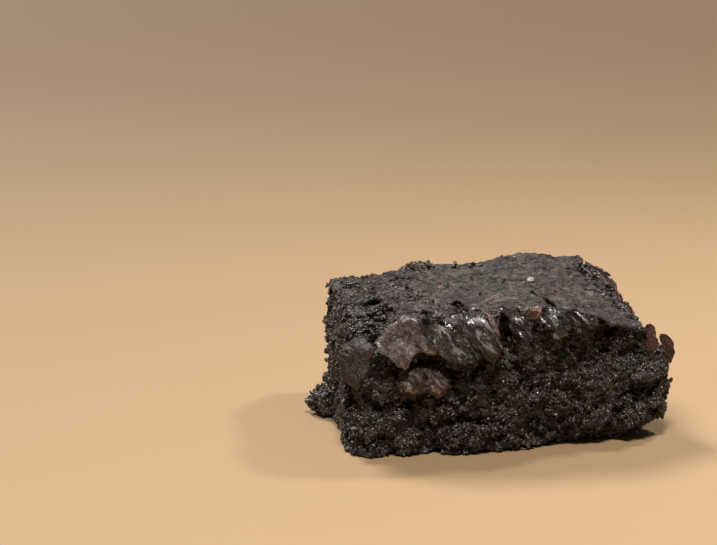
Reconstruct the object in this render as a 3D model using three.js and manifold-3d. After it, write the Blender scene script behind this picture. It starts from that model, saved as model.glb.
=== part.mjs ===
// A square of chocolate brownie cut from a tray bake, lying flat. The body is a dense, crumbly block
// with torn sides. Over it lies a thin papery crust, which overhangs the sides a little, is cracked,
// and is torn into flakes that fold down over the front. It is all one solid.
// Millimetres, +Z up. X runs along the front from left to right and Y from the front to the back.
// The origin is on the resting face, under the middle of the brownie.

import * as THREE from "three";
import { mergeVertices } from "three/addons/utils/BufferGeometryUtils.js";
import Module from "manifold-3d";

const wasm = await Module();
wasm.setup();

// Driving dimensions: the four corners of the plan, the height of the crust, and how far to the
// right its main plate reaches
const FRONT_LEFT = [-33.9, -25.6];
const FRONT_RIGHT = [33.1, -24.3];
const BACK_RIGHT = [33.2, 25.3];
const BACK_LEFT = [-28.0, 26.1];
const FRONT_BULGE = 3.4;
const CORNER_ROUND = 3.2;
const CRUST_HEIGHT = 29;
const PLATE_EDGE = 29.6;

// Moves the plan above so that the flakes and crumbs that stand out of it are centred too
const TO_MIDDLE = [0.31, 1.56];

// The crust's rim overhangs the crumb, with a groove under it
const LIP_OVERHANG = 0.7;
const LIP_THICKNESS = 1.1;
const GROOVE_DEPTH = 1.0;
const GROOVE_HEIGHT = 3.4;

// The grid of the body's skin
const CELLS_ALONG_X = 36;
const CELLS_ALONG_Y = 27;
const CELLS_UP = 14;
const RIM_ROWS = 4;
const RIM_ROW_GAP = 0.85;

// Size of the crumb's lumps and how far they stand out of the sides
const CLOD_SIZE = 5.4;
const CLOD_RELIEF = 3.0;
const SWELL_SIZE = 10;
const SWELL_RELIEF = 0.9;

const CRUST_THICKNESS = 0.75;
const FLAKE_SPOKES = 10;

const CRUMB_COLOUR = 0x241a15;

function clamp(value, low, high) {
  return Math.min(high, Math.max(low, value));
}

function smooth(from, to, value) {
  const t = clamp((value - from) / (to - from), 0, 1);
  return t * t * (3 - 2 * t);
}

function mix(a, b, t) {
  return a + (b - a) * t;
}

// A repeatable number from 0 to 1 for each whole-numbered cell
function cellValue(i, j, k, seed) {
  let h = Math.imul(i, 374761393) + Math.imul(j, 668265263) + Math.imul(k, 1274126177);
  h = Math.imul(h + Math.imul(seed, 974634777), 1103515245);
  h = Math.imul(h ^ (h >>> 15), 2246822519);
  h = Math.imul(h ^ (h >>> 13), 3266489917);
  return ((h ^ (h >>> 16)) >>> 0) / 4294967296;
}

// Smooth noise from -1 to 1, in lumps about one size across
function swell(x, y, z, size, seed) {
  const at = [x / size, y / size, z / size];
  const cell = at.map(Math.floor);
  const t = at.map((value, axis) => smooth(0, 1, value - cell[axis]));
  let sum = 0;
  for (let corner = 0; corner < 8; corner += 1) {
    const step = [corner & 1, (corner >> 1) & 1, corner >> 2];
    const weight = step.reduce((w, s, axis) => w * (s ? t[axis] : 1 - t[axis]), 1);
    sum += weight * cellValue(cell[0] + step[0], cell[1] + step[1], cell[2] + step[2], seed);
  }
  return 2 * sum - 1;
}

// Rounded clods with creases between them: 1 at the heart of a clod, falling to 0 in its creases
function clods(x, y, z, size, seed) {
  const at = [x / size, y / size, z / size];
  const cell = at.map(Math.floor);
  let nearest = 4;
  for (let n = 0; n < 27; n += 1) {
    const i = cell[0] + (n % 3) - 1;
    const j = cell[1] + (Math.floor(n / 3) % 3) - 1;
    const k = cell[2] + Math.floor(n / 9) - 1;
    const dx = i + cellValue(i, j, k, seed) - at[0];
    const dy = j + cellValue(i, j, k, seed + 1) - at[1];
    const dz = k + cellValue(i, j, k, seed + 2) - at[2];
    nearest = Math.min(nearest, dx * dx + dy * dy + dz * dz);
  }
  return 1 - Math.min(1, nearest);
}

// A round hill of the given height and radius, which is 0 outside it
function hill(x, y, atX, atY, radius, height) {
  return height * smooth(radius, 0, Math.hypot(x - atX, y - atY));
}

// How far the crust's right margin has dropped beside the main plate, whose edge steps in towards
// the back and is whole at the back corner
function droppedMargin(x, y) {
  const stepIn = 4.2 * smooth(19.5, 9.5, y) * smooth(6, 8.5, y);
  return 1.4 * smooth(-0.5, 1.5, x - PLATE_EDGE + stepIn) * smooth(21, 18.5, y);
}

// Height of the top of the crust: it domes at the middle of the front and at the back, and sinks
// towards the front right corner, where the brownie was pressed down. It has broken away at the
// back left, and its right margin has dropped along a crack.
function crustHeight(x, y) {
  const sag = 5.4 * smooth(4, 35, x) * smooth(14, -12, y);
  const leftDroop = 0.9 * smooth(-20, -35, x);
  const backDroop = 0.8 * smooth(18, 27, y) + 0.7 * smooth(10, 4, x) * smooth(12, 24, y);
  const brokenAway = 2.6 * smooth(-12, -20, x) * smooth(10, 22, y);
  const margin = droppedMargin(x, y);
  const domes = hill(x, y, 4, -19, 19, 2.2) + hill(x, y, 14.8, 17, 12.5, 3.3);
  const frontLeft = hill(x, y, -18, -20, 12, 0.9);
  return CRUST_HEIGHT + domes + frontLeft - sag - leftDroop - backDroop - brokenAway - margin;
}

// The plan: a bent quadrilateral with its front bulging, for u and v from 0 to 1
function plan(u, v) {
  const front = [mix(FRONT_LEFT[0], FRONT_RIGHT[0], u), mix(FRONT_LEFT[1], FRONT_RIGHT[1], u)];
  const back = [mix(BACK_LEFT[0], BACK_RIGHT[0], u), mix(BACK_LEFT[1], BACK_RIGHT[1], u)];
  const bulge = FRONT_BULGE * 4 * u * (1 - u) * (1 - v) * (1 - v);
  return [mix(front[0], back[0], v), mix(front[1], back[1], v) - bulge];
}

// The way out of the body, level, which turns smoothly round the corners
function outward(u, v) {
  const side = (t) => Math.sign(t) * Math.pow(Math.abs(t), 5);
  const out = new THREE.Vector2(side(2 * u - 1), side(2 * v - 1));
  return out.lengthSq() > 0 ? out.normalize() : out;
}

// How far the corners of the plan are rounded off
function cornerInset(x, y, u, v) {
  const cut = CORNER_ROUND / 2;
  const fromSide = Math.min(u, 1 - u) * (FRONT_RIGHT[0] - FRONT_LEFT[0]);
  const fromEnd = Math.min(v, 1 - v) * (BACK_LEFT[1] - FRONT_LEFT[1]);
  return cut * smooth(CORNER_ROUND, 0, Math.max(fromSide, fromEnd));
}

// How far the foot of the side is drawn in under the body. At the front right it doesn't touch
// the table for several millimetres.
function undercut(x, y, z) {
  const lifted = 3.9 * smooth(3, 13, x) * smooth(-6, -20, y);
  return (0.7 + lifted) * smooth(4.2, 0, z);
}

// Hollows that the torn front shows, with their place, half widths and depth
const HOLLOWS = [
  { x: 20.0, z: 20.8, halfWidth: 8.0, halfHeight: 5.6, depth: 4.4 },
  { x: -2.0, z: 24.6, halfWidth: 2.6, halfHeight: 6.0, depth: 4.4 },
  { x: -18.5, z: 19.4, halfWidth: 7.0, halfHeight: 2.2, depth: 2.8 },
  { x: 4.5, z: 4.2, halfWidth: 5.0, halfHeight: 2.6, depth: 1.6 },
];

function frontHollows(x, y, z) {
  if (y > -10) return 0;
  let depth = 0;
  for (const hollow of HOLLOWS) {
    const away = Math.hypot((x - hollow.x) / hollow.halfWidth, (z - hollow.z) / hollow.halfHeight);
    depth = Math.max(depth, hollow.depth * smooth(1.25, 0.2, away));
  }
  return depth;
}

// The crust's rim: how far it stands out past the side, ragged where it is torn
function rim(x, y, below) {
  const ragged = 0.8 * swell(x, y, 0, 4.5, 31) + 0.5 * swell(x, y, 0, 2.1, 32);
  const lip = (LIP_OVERHANG + ragged) * smooth(LIP_THICKNESS + 0.5, LIP_THICKNESS - 0.3, below);
  const groove = GROOVE_DEPTH * smooth(LIP_THICKNESS, LIP_THICKNESS + 0.8, below);
  return lip - groove * smooth(GROOVE_HEIGHT, LIP_THICKNESS + 0.8, below);
}

// Relief of the torn sides, outwards, at a height with this much crumb above it
function sideRelief(x, y, z, below) {
  const clodded = CLOD_RELIEF * (clods(x, y, z * 1.25, CLOD_SIZE, 11) - 0.62);
  const swollen = SWELL_RELIEF * swell(x, y, z, SWELL_SIZE, 21) + 0.7 * swell(x, y, z, 2.3, 22);
  const inCrumb = smooth(LIP_THICKNESS, GROOVE_HEIGHT, below);
  const rightFoot = 1.5 * smooth(24, 31, x) * smooth(14, 9, z) * smooth(1, 5, z);
  const tornCorner = 2.6 * smooth(26, 33, x) * smooth(-13, -22, y) * smooth(15, 22, z);
  const crumb = (clodded + swollen) * mix(0.25, 1, inCrumb) + rightFoot - tornCorner;
  return crumb + rim(x, y, below) - undercut(x, y, z) - frontHollows(x, y, z);
}

// Low wrinkles of the crust
function wrinkles(x, y) {
  const broad = 0.5 * swell(x, y, 0, 7, 41);
  const fine = 0.3 * (1 - 2 * Math.abs(swell(x * 0.6, y, 0, 3.4, 42)));
  return broad + fine;
}

// Height of a row of the side: even steps up the crumb, and close rows at the rim
function rowHeight(w, top) {
  const row = w * CELLS_UP;
  const rimStart = CELLS_UP - RIM_ROWS;
  const crumbTop = top - RIM_ROWS * RIM_ROW_GAP;
  if (row <= rimStart) return (crumbTop * row) / rimStart;
  return crumbTop + (row - rimStart) * RIM_ROW_GAP;
}

// Takes a point of the unit box to the brownie's skin
function place(u, v, w) {
  const [planX, planY] = plan(u, v);
  const top = crustHeight(planX, planY);
  const z = rowHeight(w, top);
  const edge = Math.max(Math.abs(2 * u - 1), Math.abs(2 * v - 1));
  const out = outward(u, v);
  const push = sideRelief(planX, planY, z, top - z) - cornerInset(planX, planY, u, v);
  const reach = smooth(0.88, 1, edge);
  const wrinkled = smooth(0.8, 1, w) * wrinkles(planX, planY);
  const dropped = 0.5 * smooth(0.93, 1, edge) * smooth(0.9, 1, w);
  return [planX + out.x * push * reach, planY + out.y * push * reach, z + wrinkled - dropped];
}

// The closed skin: the sides and top of a finely divided box, and one flat face to rest on
function bodyGeometry() {
  const box = new THREE.BoxGeometry(1, 1, 1, CELLS_ALONG_X, CELLS_ALONG_Y, CELLS_UP);
  const at = box.getAttribute("position");
  const step = (value, cells) => Math.round((value + 0.5) * cells) / cells;
  for (let i = 0; i < at.count; i += 1) {
    const u = step(at.getX(i), CELLS_ALONG_X);
    const v = step(at.getY(i), CELLS_ALONG_Y);
    const w = step(at.getZ(i), CELLS_UP);
    at.setXYZ(i, ...place(u, v, w));
  }
  const underside = box.groups[5];
  const index = Array.from(box.index.array).filter(
    (_, i) => i < underside.start || i >= underside.start + underside.count,
  );
  const ring = footRing();
  const first = at.count;
  const points = Array.from(at.array);
  for (const [x, y] of ring) points.push(x, y, 0);
  const flat = ring.map(([x, y]) => new THREE.Vector2(x, y));
  for (const [a, b, c] of THREE.ShapeUtils.triangulateShape(flat, [])) {
    index.push(first + a, first + c, first + b);
  }
  const closed = new THREE.BufferGeometry();
  closed.setAttribute("position", new THREE.Float32BufferAttribute(points, 3));
  closed.setIndex(index);
  return closed;
}

// The edge of the resting face, anticlockwise from above
function footRing() {
  const ring = [];
  for (let i = 0; i < CELLS_ALONG_X; i += 1) ring.push([i / CELLS_ALONG_X, 0]);
  for (let j = 0; j < CELLS_ALONG_Y; j += 1) ring.push([1, j / CELLS_ALONG_Y]);
  for (let i = CELLS_ALONG_X; i > 0; i -= 1) ring.push([i / CELLS_ALONG_X, 1]);
  for (let j = CELLS_ALONG_Y; j > 0; j -= 1) ring.push([0, j / CELLS_ALONG_Y]);
  return ring.map(([u, v]) => place(u, v, 0).slice(0, 2));
}

// Depth of the front's surface without its relief, at a place along it
function frontY(x) {
  const u = clamp((x - FRONT_LEFT[0]) / (FRONT_RIGHT[0] - FRONT_LEFT[0]), 0, 1);
  return plan(u, 0)[1];
}

// A flake of crust: a thin, curved, ragged plate. It is made lying in X and Y with its root
// towards +Y, bent up along Z at its free end, and then turned and moved to its place.
function flakeGeometry(width, length, bend, seed) {
  const points = [];
  const index = [];
  for (const face of [0.5, -0.5]) {
    const middle = bend / 4;
    points.push(0, 0, middle + face * CRUST_THICKNESS);
    for (const reach of [0.55, 1]) {
      for (let spoke = 0; spoke < FLAKE_SPOKES; spoke += 1) {
        const angle = (spoke / FLAKE_SPOKES) * 2 * Math.PI;
        const squared = 1 / Math.pow(Math.cos(angle) ** 4 + Math.sin(angle) ** 4, 0.25);
        const ragged = squared * (1 + 0.12 * (2 * cellValue(spoke, seed, 0, 51) - 1));
        const x = Math.cos(angle) * ragged * (width / 2) * reach;
        const y = Math.sin(angle) * ragged * (length / 2) * reach;
        const lift = bend * (y / length - 0.5) ** 2;
        const ripple = 0.3 * Math.sin(x * 1.2 + seed);
        points.push(x, y, lift + ripple + face * CRUST_THICKNESS);
      }
    }
  }
  const perFace = 1 + 2 * FLAKE_SPOKES;
  for (let spoke = 0; spoke < FLAKE_SPOKES; spoke += 1) {
    const next = (spoke + 1) % FLAKE_SPOKES;
    for (const [middle, down] of [[0, false], [perFace, true]]) {
      const inner = middle + 1;
      const outer = inner + FLAKE_SPOKES;
      const fan = [[middle, inner + spoke, inner + next]];
      fan.push([inner + spoke, outer + spoke, outer + next]);
      fan.push([inner + spoke, outer + next, inner + next]);
      for (const [a, b, c] of fan) index.push(...(down ? [a, c, b] : [a, b, c]));
    }
    const upper = 1 + FLAKE_SPOKES;
    const lower = perFace + upper;
    index.push(upper + spoke, lower + spoke, lower + next);
    index.push(upper + spoke, lower + next, upper + next);
  }
  const plate = new THREE.BufferGeometry();
  plate.setAttribute("position", new THREE.Float32BufferAttribute(points, 3));
  plate.setIndex(index);
  return plate;
}

// Flakes on the front. Each has the place of its middle along and up the front, its width and
// length, its turn in the plane of the front, its lean out at the foot, its bend and its heading,
// in millimetres and degrees. stand is how far it stands out of the front.
const FRONT_FLAKES = [
  { x: -23.9, z: 24.2, width: 9.0, length: 8.8, turn: -14, lean: 7, bend: 0.8, stand: 0.9 },
  { x: -31.4, z: 19.4, width: 5.8, length: 9.6, turn: 6, lean: 3, bend: 0.4, stand: 0.1, heading: -32 },
  { x: -16.8, z: 25.2, width: 6.4, length: 7.6, turn: 32, lean: 7, bend: 0.7, stand: 0.6 },
  { x: -12.2, z: 22.9, width: 5.2, length: 7.4, turn: 36, lean: 12, bend: 1.0, stand: 0.6 },
  { x: -8.6, z: 25.4, width: 5.6, length: 7.6, turn: 24, lean: 8, bend: 0.9, stand: 0.9 },
  { x: -4.9, z: 24.4, width: 2.4, length: 9.0, turn: 8, lean: 5, bend: 0.8, stand: 1.0 },
  { x: -21.4, z: 16.0, width: 5.2, length: 5.0, turn: -20, lean: 12, bend: 0.5, stand: 1.0 },
  { x: -16.4, z: 16.2, width: 5.2, length: 5.0, turn: 16, lean: 12, bend: 0.6, stand: 0.2 },
  { x: 1.4, z: 25.6, width: 3.8, length: 5.6, turn: 18, lean: 8, bend: 0.7, stand: 0.5 },
  { x: 7.2, z: 26.6, width: 5.0, length: 3.8, turn: 12, lean: 12, bend: 0.6, stand: 0.6 },
  { x: 12.6, z: 26.4, width: 4.4, length: 3.8, turn: -8, lean: 16, bend: 0.5, stand: -0.4 },
  { x: 27.8, z: 14.6, width: 5.6, length: 3.2, turn: 8, lean: 24, bend: 0.5, stand: 0.7 },
];

// Petals of crust that curl up past the right end
const END_PETALS = [
  { x: 32.0, y: -21.4, z: 18.8, width: 4.2, length: 6.8, turn: 24, lean: -16 },
  { x: 28.2, y: -23.0, z: 22.4, width: 3.4, length: 5.0, turn: -8, lean: -10 },
  { x: 33.4, y: -19.2, z: 13.4, width: 2.6, length: 2.8, turn: 60, lean: 30 },
];

function turned(geometry, spinDegrees, leanDegrees, headingDegrees, x, y, z) {
  const radians = THREE.MathUtils.degToRad;
  const stood = radians(90 + leanDegrees);
  geometry.rotateZ(radians(spinDegrees));
  geometry.rotateX(stood);
  geometry.rotateZ(radians(headingDegrees));
  return geometry.translate(x, y, z);
}

function frontFlakes() {
  return FRONT_FLAKES.map((flake, n) => {
    const plate = flakeGeometry(flake.width, flake.length, flake.bend, n + 1);
    const y = frontY(flake.x) - flake.stand;
    return turned(plate, flake.turn, -flake.lean, flake.heading ?? 0, flake.x, y, flake.z);
  });
}

function endPetals() {
  return END_PETALS.map((petal, n) => {
    const plate = flakeGeometry(petal.width, petal.length, 0.8, n + 40);
    return turned(plate, petal.turn, petal.lean, 30, petal.x, petal.y, petal.z);
  });
}

// A crumb: a dented many-faced lump
function crumbGeometry(x, y, z, radius, seed) {
  const lump = mergeVertices(
    new THREE.IcosahedronGeometry(radius, 0).deleteAttribute("normal").deleteAttribute("uv"),
  );
  const at = lump.getAttribute("position");
  for (let i = 0; i < at.count; i += 1) {
    const dent = 0.72 + 0.5 * cellValue(i, seed, 0, 61);
    at.setXYZ(i, at.getX(i) * dent, at.getY(i) * dent, at.getZ(i) * dent * 0.85);
  }
  return lump.translate(x, y, z);
}

// Crumbs that cling to the sides, drawn by place from the same repeatable numbers each time
function sideCrumbs() {
  const count = 34;
  const crumbs = [];
  for (let n = 0; n < count; n += 1) {
    const around = (n + cellValue(n, 1, 0, 71)) / count;
    const up = mix(0.12, 0.86, cellValue(n, 2, 0, 71));
    const side = Math.floor(around * 4);
    const along = clamp(around * 4 - side, 0.04, 0.96);
    const [u, v] = [[along, 0], [1, along], [1 - along, 1], [0, 1 - along]][side];
    const [x, y, z] = place(u, v, up);
    crumbs.push(crumbGeometry(x, y, z, mix(0.7, 1.35, cellValue(n, 3, 0, 71)), n));
  }
  return crumbs;
}

// Mounds of crumb along the back of the crust, and at its broken front left corner
const CRUST_CRUMBS = [
  { x: -13.2, y: 21.6, radius: 1.6 },
  { x: -10.6, y: 21.6, radius: 1.8 },
  { x: -8.0, y: 22.2, radius: 1.9 },
  { x: -5.8, y: 22.6, radius: 1.6 },
  { x: -4.2, y: 23.2, radius: 1.1 },
  { x: 3.0, y: 20.2, radius: 1.25 },
  { x: 7.4, y: 19.6, radius: 1.3 },
  { x: 9.8, y: 20.2, radius: 1.0 },
  { x: -30.2, y: -14.8, radius: 1.7 },
  { x: -28.6, y: -19.6, radius: 1.9 },
  { x: -31.6, y: -9.6, radius: 1.5 },
  { x: -26.2, y: -22.4, radius: 1.4 },
];

function crustCrumbs() {
  return CRUST_CRUMBS.map(({ x, y, radius }, n) =>
    crumbGeometry(x, y, crustHeight(x, y) + radius * 0.25, radius, n + 200),
  );
}

// A lump of crumb spread out at the foot of the left end
function footLump() {
  const lump = mergeVertices(
    new THREE.IcosahedronGeometry(1, 1).deleteAttribute("normal").deleteAttribute("uv"),
  );
  const at = lump.getAttribute("position");
  const middle = [-32.2, 7.4, 2.7];
  const half = [4.0, 5.0, 3.6];
  for (let i = 0; i < at.count; i += 1) {
    const reach = 0.82 + 0.36 * cellValue(i, 0, 0, 81);
    const x = middle[0] + at.getX(i) * half[0] * reach;
    const y = middle[1] + at.getY(i) * half[1] * reach;
    const z = middle[2] + at.getZ(i) * half[2] * reach;
    at.setXYZ(i, x, y, Math.max(0, z));
  }
  return lump;
}

// The flake of salt on the crust
function saltFlake() {
  const salt = new THREE.BoxGeometry(1.5, 1.3, 0.9);
  salt.rotateZ(0.6);
  salt.rotateX(0.35);
  const [x, y] = [10.8, -2.5];
  return salt.translate(x, y, crustHeight(x, y) + wrinkles(x, y) + 0.2);
}

// Cracks, as lists of points on the surface. Those of the crust are x and y, and those of the
// front are x and z. Each has its width at the surface and its depth.
const CRUST_CRACKS = [
  {
    width: 1.5,
    depth: 2.0,
    points: [[30.2, 20], [25.4, 8.7], [30.4, 4], [30.9, -1], [29.1, -6.7], [30.7, -12], [30.8, -19]],
  },
  { width: 1.3, depth: 1.5, points: [[-35, -8], [-27, -11.5], [-20, -12.4], [-14.8, -16]] },
  { width: 1.6, depth: 1.8, points: [[-13.6, -31], [-11.6, -25], [-9.8, -21.5]] },
];
const FRONT_CRACKS = [
  { width: 1.0, depth: 2.2, points: [[-27, 10.8], [-20, 11.6], [-13, 12.8], [-9, 11.6]] },
  { width: 0.8, depth: 1.6, points: [[-21, 5.2], [-14, 6.6], [-7, 6.0]] },
  { width: 1.2, depth: 1.8, points: [[-1.8, 19.6], [1.6, 16.2], [7, 13.6]] },
];

// The path with jagged points put in between those given
function jagged(path, seed) {
  const points = [path[0]];
  for (let n = 1; n < path.length; n += 1) {
    const [from, to] = [path[n - 1], path[n]];
    for (const t of [0.33, 0.67]) {
      const jog = (axis) => 1.7 * (cellValue(n, Math.round(t * 3), axis, seed) - 0.5);
      points.push([mix(from[0], to[0], t) + jog(0), mix(from[1], to[1], t) + jog(1)]);
    }
    points.push(to);
  }
  return points;
}

// A wedge that runs along a path and cuts a crack: open at the surface, closed at its depth
function crackGeometry(path, outwards, width, depth) {
  const points = [];
  const index = [];
  const last = path.length - 1;
  path.forEach((at, n) => {
    const along = path[Math.min(n + 1, last)].clone().sub(path[Math.max(n - 1, 0)]);
    const across = along.cross(outwards).normalize();
    const open = (n === 0 || n === last ? 0.35 : 1) * (width / 2);
    const deep = n === 0 || n === last ? depth * 0.4 : depth;
    const above = at.clone().addScaledVector(outwards, 3);
    points.push(...above.clone().addScaledVector(across, -2.4 * open));
    points.push(...above.clone().addScaledVector(across, 2.4 * open));
    points.push(...at.clone().addScaledVector(outwards, -deep));
  });
  for (let n = 0; n < last; n += 1) {
    for (let side = 0; side < 3; side += 1) {
      const a = 3 * n + side;
      const b = 3 * n + ((side + 1) % 3);
      index.push(a, b, b + 3, a, b + 3, a + 3);
    }
  }
  index.push(0, 2, 1, 3 * last, 3 * last + 1, 3 * last + 2);
  const wedge = new THREE.BufferGeometry();
  wedge.setAttribute("position", new THREE.Float32BufferAttribute(points, 3));
  wedge.setIndex(index);
  return wedge;
}

function cracks() {
  const up = new THREE.Vector3(0, 0, 1);
  const toFront = new THREE.Vector3(0, -1, 0);
  const inCrust = CRUST_CRACKS.map(({ points, width, depth }, n) => {
    const path = jagged(points, n + 91).map(([x, y]) => new THREE.Vector3(x, y, crustHeight(x, y)));
    return crackGeometry(path, up, width, depth);
  });
  const inFront = FRONT_CRACKS.map(({ points, width, depth }, n) => {
    const path = jagged(points, n + 95).map(([x, z]) => new THREE.Vector3(x, frontY(x), z));
    return crackGeometry(path, toFront, width, depth);
  });
  return [...inCrust, ...inFront];
}

function solidOf(geometry) {
  const bare = geometry.clone();
  bare.deleteAttribute("normal");
  bare.deleteAttribute("uv");
  const merged = mergeVertices(bare, 1e-4);
  const solid = new wasm.Manifold(
    new wasm.Mesh({
      numProp: 3,
      vertProperties: merged.getAttribute("position").array,
      triVerts: new Uint32Array(merged.index.array),
    }),
  );
  if (solid.volume() < 0) throw new Error("a piece is inside out");
  return solid;
}

function geometryOf(solid) {
  const mesh = solid.getMesh();
  const geometry = new THREE.BufferGeometry();
  geometry.setAttribute("position", new THREE.BufferAttribute(mesh.vertProperties, 3));
  geometry.setIndex(new THREE.BufferAttribute(mesh.triVerts, 1));
  geometry.computeVertexNormals();
  return geometry;
}

// Everything fused into one solid. Scraps that a crack cuts loose are dropped.
function brownieSolid() {
  const joined = [...frontFlakes(), ...endPetals(), ...sideCrumbs(), ...crustCrumbs()];
  joined.push(footLump(), saltFlake());
  let solid = solidOf(bodyGeometry());
  for (const wedge of cracks()) solid = solid.subtract(solidOf(wedge));
  for (const piece of joined) solid = solid.add(solidOf(piece));
  const bodies = solid.decompose().sort((a, b) => b.volume() - a.volume());
  return bodies[0];
}

const material = new THREE.MeshStandardMaterial({ color: CRUMB_COLOUR, roughness: 0.6, metalness: 0 });
const brownie = new THREE.Mesh(geometryOf(brownieSolid()), material);
brownie.name = "brownie";
brownie.geometry.translate(TO_MIDDLE[0], TO_MIDDLE[1], 0);

const part = new THREE.Group();
part.add(brownie);

export default part;
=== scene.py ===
"""A square of chocolate brownie: crumbly torn sides, and a thin papery crust that has cracked and
flaked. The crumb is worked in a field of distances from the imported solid, where lumps, grains and
pores are added and taken away. The crust is a thin closed sheet over it, its flakes hang on the
front, and loose grains cling to the sides. All shaping is in millimetres, in the part's frame.
"""
import itertools
import math

import bpy
import numpy as np
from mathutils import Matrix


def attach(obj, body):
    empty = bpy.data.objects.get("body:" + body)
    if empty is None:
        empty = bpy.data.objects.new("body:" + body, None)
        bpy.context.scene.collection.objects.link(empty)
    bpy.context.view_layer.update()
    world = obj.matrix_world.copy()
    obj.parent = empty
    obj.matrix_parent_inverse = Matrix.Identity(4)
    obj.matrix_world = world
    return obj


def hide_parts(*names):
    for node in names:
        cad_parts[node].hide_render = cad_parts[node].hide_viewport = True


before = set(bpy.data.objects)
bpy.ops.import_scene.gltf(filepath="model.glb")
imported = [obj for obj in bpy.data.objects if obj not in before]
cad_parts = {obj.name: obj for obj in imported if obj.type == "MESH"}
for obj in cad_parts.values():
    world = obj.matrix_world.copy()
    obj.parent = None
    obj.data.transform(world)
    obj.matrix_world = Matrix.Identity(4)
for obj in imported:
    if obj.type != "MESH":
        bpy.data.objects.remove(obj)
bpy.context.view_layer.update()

import openvdb
from mathutils import Vector
from mathutils.bvhtree import BVHTree

MM = 0.001

# The crumb's field: the spacing of its points, how far it reaches, and the mesh's most faces
VOXEL = 0.3
BAND = 2.7
CRUMB_FACES = 195000

# The crumb's relief: how wide its clumps, lumps, grains, pores and level seams are, and how deep
CLUMP_SIZE, CLUMP_DEPTH = 3.4, 1.05
LUMP_SIZE, LUMP_DEPTH = 1.25, 1.30
GRAIN_SIZE, GRAIN_DEPTH = 0.74, 0.50
PORE_SIZE, PORE_DEPTH = 2.1, 1.6
SEAM_SIZE, SEAM_DEPTH = 1.5, 0.9
RELIEF_MIDDLE = 0.50

# The crust
CRUST_STEP = 0.36
CRUST_THICKNESS = 0.5

# Maps of the solid's front and top, read by casting rays at this spacing
MAP_STEP = 0.5
FRONT_X = (-38.0, 38.0)
FRONT_Z = (-1.0, 34.0)
TOP_Y = (-32.0, 31.0)
LOWEST_TOP = 19.0
FAR = 99.0


# Noise and maps

def hashed(cells, seed):
    """A repeatable number from 0 to 1 for each whole-numbered cell."""
    c = cells.astype(np.int32).view(np.uint32)
    h = c[..., 0] * np.uint32(0x8DA6B343) ^ c[..., 1] * np.uint32(0xD8163841)
    h = h ^ c[..., 2] * np.uint32(0xCB1AB31F) ^ np.uint32(seed * 0x9E3779B1 & 0xFFFFFFFF)
    h ^= h >> np.uint32(15)
    h *= np.uint32(0x2C1B3C6D)
    h ^= h >> np.uint32(12)
    h *= np.uint32(0x297A2D39)
    h ^= h >> np.uint32(15)
    return h.astype(np.float32) * np.float32(2.0**-32)


def noise(points, size, seed):
    """Smooth noise from -1 to 1, in lumps about one size across."""
    q = points / np.float32(size)
    base = np.floor(q)
    t = q - base
    t = t * t * (3 - 2 * t)
    base = base.astype(np.int32)
    total = 0
    for corner in itertools.product((0, 1), repeat=3):
        weight = 1
        for axis, side in enumerate(corner):
            weight = weight * (t[..., axis] if side else 1 - t[..., axis])
        total = total + weight * hashed(base + np.array(corner, np.int32), seed)
    return 2 * total - 1


def lumps(points, size, seed, jitter=0.75):
    """How far each point is from the nearest lump's middle, and from the next one, in sizes."""
    q = points / np.float32(size)
    base = np.floor(q - 0.5).astype(np.int32)
    first = np.full(q.shape[:-1], 9, np.float32)
    second = first.copy()
    for corner in itertools.product((0, 1), repeat=3):
        cell = base + np.array(corner, np.int32)
        away = 0
        for axis in range(3):
            middle = cell[..., axis] + 0.5 + jitter * (hashed(cell, seed + axis) - 0.5)
            away = away + (q[..., axis] - middle) ** 2
        second = np.minimum(second, np.maximum(first, away))
        first = np.minimum(first, away)
    return np.sqrt(first), np.sqrt(second)


def smooth(low, high, value):
    """An S-shaped change from 0 at low to 1 at high, whichever of the two is the greater."""
    t = np.clip((value - low) / (high - low), 0, 1)
    return t * t * (3 - 2 * t)


def flat_points(x, y, z=0.0):
    """Points from their separate coordinates, any of which may be one number for all."""
    return np.stack(np.broadcast_arrays(x, y, z), -1).astype(np.float32)


def blurred(grid, cells):
    """The grid after a Gaussian blur of this many cells."""
    reach = int(math.ceil(3 * cells))
    taps = np.exp(-0.5 * (np.arange(-reach, reach + 1) / cells) ** 2)
    taps /= taps.sum()
    out = grid.astype(float)
    for axis in (0, 1):
        padded = np.pad(out, [(reach, reach) if a == axis else (0, 0) for a in (0, 1)], "edge")
        out = np.apply_along_axis(np.convolve, axis, padded, taps, "valid")
    return out


def extreme(grid, cells, pick):
    """The grid with each value replaced by the highest or lowest one within this many cells."""
    out = grid.copy()
    for axis in (0, 1):
        padded = np.pad(out, [(cells, cells) if a == axis else (0, 0) for a in (0, 1)], "edge")
        size = out.shape[axis]
        slices = [np.take(padded, range(s, s + size), axis) for s in range(2 * cells + 1)]
        out = pick.reduce(slices)
    return out


class Map:
    """A grid of values over two axes, read between its points."""

    def __init__(self, first, second, values):
        self.first, self.second, self.values = first, second, values

    def __call__(self, a, b):
        rows, columns = self.values.shape
        i = np.clip((np.asarray(a) - self.first) / MAP_STEP, 0, rows - 1.001)
        j = np.clip((np.asarray(b) - self.second) / MAP_STEP, 0, columns - 1.001)
        i0, j0 = i.astype(int), j.astype(int)
        u, v = i - i0, j - j0
        g = self.values
        low = g[i0, j0] * (1 - u) + g[i0 + 1, j0] * u
        high = g[i0, j0 + 1] * (1 - u) + g[i0 + 1, j0 + 1] * u
        return low * (1 - v) + high * v


# The solid, and maps of its front and top

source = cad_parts["brownie"]
solid_points = np.array([v.co for v in source.data.vertices]) / MM
source.data.calc_loop_triangles()
solid_faces = np.array([t.vertices for t in source.data.loop_triangles])
tree = BVHTree.FromPolygons(solid_points.tolist(), solid_faces.tolist())


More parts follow.
